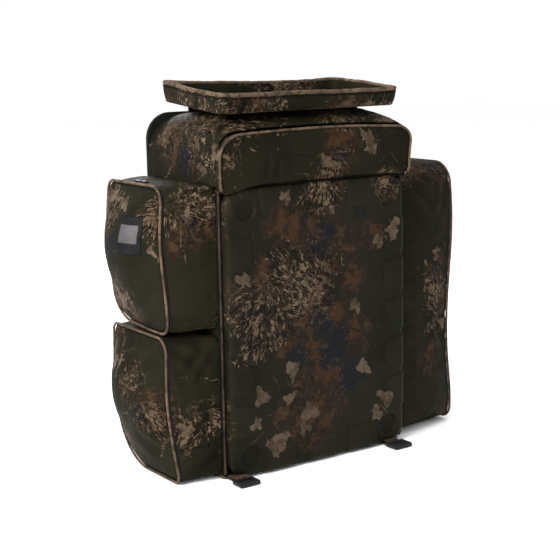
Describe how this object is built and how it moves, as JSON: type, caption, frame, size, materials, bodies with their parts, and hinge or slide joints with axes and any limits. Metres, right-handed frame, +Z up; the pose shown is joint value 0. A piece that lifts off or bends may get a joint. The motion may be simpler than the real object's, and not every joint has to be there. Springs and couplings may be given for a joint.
{
  "type": "tackle backpack",
  "caption": "Box-shaped fishing rucksack with a moulded fold-down front panel, hooded upper pocket, side pockets, a tray lid, zips, shoulder straps and base straps.",
  "frame": {"origin": "middle of the main body's underside, on the plane that the bag stands on", "axes": "+Z up, -Y towards the front panel, +X towards the tall side pocket"},
  "size_m": [0.637, 0.3358, 0.6458],
  "materials": {
    "camo_fabric": "matt coated woven polyester with a leaf and twig camouflage print",
    "moulded_camo": "camouflage fabric moulded over foam, slightly satin",
    "lining_fabric": "dark coated woven lining",
    "padded_mesh": "black air mesh over foam",
    "camo_binding": "folded printed binding over a cord",
    "zip_tape": "black coil zip on woven tape",
    "black_webbing": "black polyester webbing",
    "black_plastic": "black moulded acetal, fine texture",
    "black_metal": "black painted zinc",
    "pull_cord": "black cord and rubber grip"
  },
  "bodies": {
    "bag": {"body_wrap": "camo_fabric", "base_panel": "lining_fabric", "back_panel": "padded_mesh", "divider_wall": "lining_fabric", "hood_shelf": "lining_fabric", "hood_gusset": "camo_fabric", "frame_sheet": "black_plastic", "back_pad_left": "padded_mesh", "back_pad_right": "padded_mesh", "lumbar_pad": "padded_mesh", "strap_yoke": "padded_mesh", "lid_hinge_strip": "camo_fabric", "mouth_zip": "zip_tape", "front_zip": "zip_tape", "hood_zip": "zip_tape", "left_upper_shell": "camo_fabric", "left_upper_zip": "zip_tape", "left_lower_shell": "camo_fabric", "left_lower_zip": "zip_tape", "right_shell": "camo_fabric", "right_zip": "zip_tape", "lower_webbing": "black_webbing", "base_webbing": "black_webbing", "handle_patch": "black_webbing"},
    "lid": {"lid_pad": "camo_fabric", "tray_floor": "camo_fabric", "tray_wall": "camo_fabric", "tray_binding": "camo_binding"},
    "front_door": {"front_panel": "moulded_camo", "front_lining": "lining_fabric"},
    "hood": {"hood_face": "camo_fabric", "hood_piping": "camo_binding"},
    "left_upper_flap": {"left_upper_face": "camo_fabric", "left_upper_piping": "camo_binding", "label_patch": "black_webbing"},
    "left_lower_flap": {"left_lower_face": "camo_fabric", "left_lower_piping": "camo_binding"},
    "right_flap": {"right_face": "camo_fabric", "right_piping": "camo_binding"},
    "haul_handle": {"haul_handle": "black_webbing"},
    "left_strap": {"left_shoulder_strap": "padded_mesh", "left_ladder_lock": "black_plastic"},
    "right_strap": {"right_shoulder_strap": "padded_mesh", "right_ladder_lock": "black_plastic"},
    "left_base_buckle": {"left_base_buckle": "black_plastic"},
    "right_base_buckle": {"right_base_buckle": "black_plastic"},
    "lid_slider": {"lid_slider": "black_metal"},
    "lid_pull": {"lid_pull": "pull_cord"},
    "left_upper_front_slider": {"left_upper_front_slider": "black_metal"},
    "left_upper_front_pull": {"left_upper_front_pull": "pull_cord"},
    "left_upper_rear_slider": {"left_upper_rear_slider": "black_metal"},
    "left_upper_rear_pull": {"left_upper_rear_pull": "pull_cord"},
    "left_lower_slider": {"left_lower_slider": "black_metal"},
    "left_lower_pull": {"left_lower_pull": "pull_cord"},
    "right_slider": {"right_slider": "black_metal"},
    "right_pull": {"right_pull": "pull_cord"},
    "front_slider": {"front_slider": "black_metal"},
    "front_pull": {"front_pull": "pull_cord"},
    "hood_slider": {"hood_slider": "black_metal"},
    "hood_pull": {"hood_pull": "pull_cord"}
  },
  "joints": [
    {"name": "lid_hinge", "type": "hinge", "parent": "bag", "child": "lid", "pos_m": [0, 0.066, 0.611], "axis": [-1, 0, 0], "range_deg": [0, 105]},
    {"name": "front_door_hinge", "type": "hinge", "parent": "bag", "child": "front_door", "pos_m": [0, -0.125, 0.014], "axis": [1, 0, 0], "range_deg": [0, 80]},
    {"name": "hood_hinge", "type": "hinge", "parent": "bag", "child": "hood", "pos_m": [0, -0.129, 0.481], "axis": [1, 0, 0], "range_deg": [0, 75]},
    {"name": "left_upper_flap_hinge", "type": "hinge", "parent": "bag", "child": "left_upper_flap", "pos_m": [-0.2695, 0, 0.2475], "axis": [0, -1, 0], "range_deg": [0, 75]},
    {"name": "left_lower_flap_hinge", "type": "hinge", "parent": "bag", "child": "left_lower_flap", "pos_m": [-0.262, 0, 0.006], "axis": [0, -1, 0], "range_deg": [0, 50]},
    {"name": "right_flap_hinge", "type": "hinge", "parent": "bag", "child": "right_flap", "pos_m": [0.3215, 0, 0.006], "axis": [0, 1, 0], "range_deg": [0, 50]},
    {"name": "haul_handle_hinge", "type": "hinge", "parent": "bag", "child": "haul_handle", "pos_m": [0, 0.117, 0.58], "axis": [1, 0, 0], "range_deg": [0, 140]},
    {"name": "left_strap_hinge", "type": "hinge", "parent": "bag", "child": "left_strap", "pos_m": [-0.096, 0.125, 0.54], "axis": [1, 0, 0], "range_deg": [0, 15]},
    {"name": "right_strap_hinge", "type": "hinge", "parent": "bag", "child": "right_strap", "pos_m": [0.096, 0.125, 0.54], "axis": [1, 0, 0], "range_deg": [0, 15]},
    {"name": "left_base_buckle_hinge", "type": "hinge", "parent": "bag", "child": "left_base_buckle", "pos_m": [-0.171, -0.138, 0.0045], "axis": [-1, 0, 0], "range_deg": [0, 15]},
    {"name": "right_base_buckle_hinge", "type": "hinge", "parent": "bag", "child": "right_base_buckle", "pos_m": [0.148, -0.138, 0.0045], "axis": [-1, 0, 0], "range_deg": [0, 15]},
    {"name": "lid_slider_slide", "type": "slide", "parent": "bag", "child": "lid_slider", "axis": [0, 1, 0], "range_m": [0, 0.098]},
    {"name": "lid_pull_hinge", "type": "hinge", "parent": "lid_slider", "child": "lid_pull", "pos_m": [0.1407, -0.048, 0.5931], "axis": [0, -1, 0], "range_deg": [0, 8]},
    {"name": "left_upper_front_slider_slide", "type": "slide", "parent": "bag", "child": "left_upper_front_slider", "axis": [0, -1, 0], "range_m": [0, 0.045]},
    {"name": "left_upper_front_pull_hinge", "type": "hinge", "parent": "left_upper_front_slider", "child": "left_upper_front_pull", "pos_m": [-0.2548, -0.009, 0.4874], "axis": [0, -1, 0], "range_deg": [0, 90]},
    {"name": "left_upper_rear_slider_slide", "type": "slide", "parent": "bag", "child": "left_upper_rear_slider", "axis": [0, 1, 0], "range_m": [0, 0.045]},
    {"name": "left_upper_rear_pull_hinge", "type": "hinge", "parent": "left_upper_rear_slider", "child": "left_upper_rear_pull", "pos_m": [-0.2548, 0.009, 0.4874], "axis": [0, -1, 0], "range_deg": [0, 90]},
    {"name": "left_lower_slider_slide", "type": "slide", "parent": "bag", "child": "left_lower_slider", "axis": [0, 0, 1], "range_m": [0, 0.09]},
    {"name": "left_lower_pull_hinge", "type": "hinge", "parent": "left_lower_slider", "child": "left_lower_pull", "pos_m": [-0.2605, 0.0937, 0.1018], "axis": [1, 0, 0], "range_deg": [0, 90]},
    {"name": "right_slider_slide", "type": "slide", "parent": "bag", "child": "right_slider", "axis": [0, 0, 1], "range_m": [0, 0.38]},
    {"name": "right_pull_hinge", "type": "hinge", "parent": "right_slider", "child": "right_pull", "pos_m": [0.3125, 0.0937, 0.0518], "axis": [1, 0, 0], "range_deg": [0, 90]},
    {"name": "front_slider_slide", "type": "slide", "parent": "bag", "child": "front_slider", "axis": [0, 0, 1], "range_m": [0, 0.36]},
    {"name": "front_pull_hinge", "type": "hinge", "parent": "front_slider", "child": "front_pull", "pos_m": [0.1899, -0.106, 0.0818], "axis": [0, -1, 0], "range_deg": [0, 90]},
    {"name": "hood_slider_slide", "type": "slide", "parent": "bag", "child": "hood_slider", "axis": [0, 0, 1], "range_m": [0, 0.01]},
    {"name": "hood_pull_hinge", "type": "hinge", "parent": "hood_slider", "child": "hood_pull", "pos_m": [0.1939, -0.1135, 0.4968], "axis": [0, -1, 0], "range_deg": [0, 90]}
  ]
}
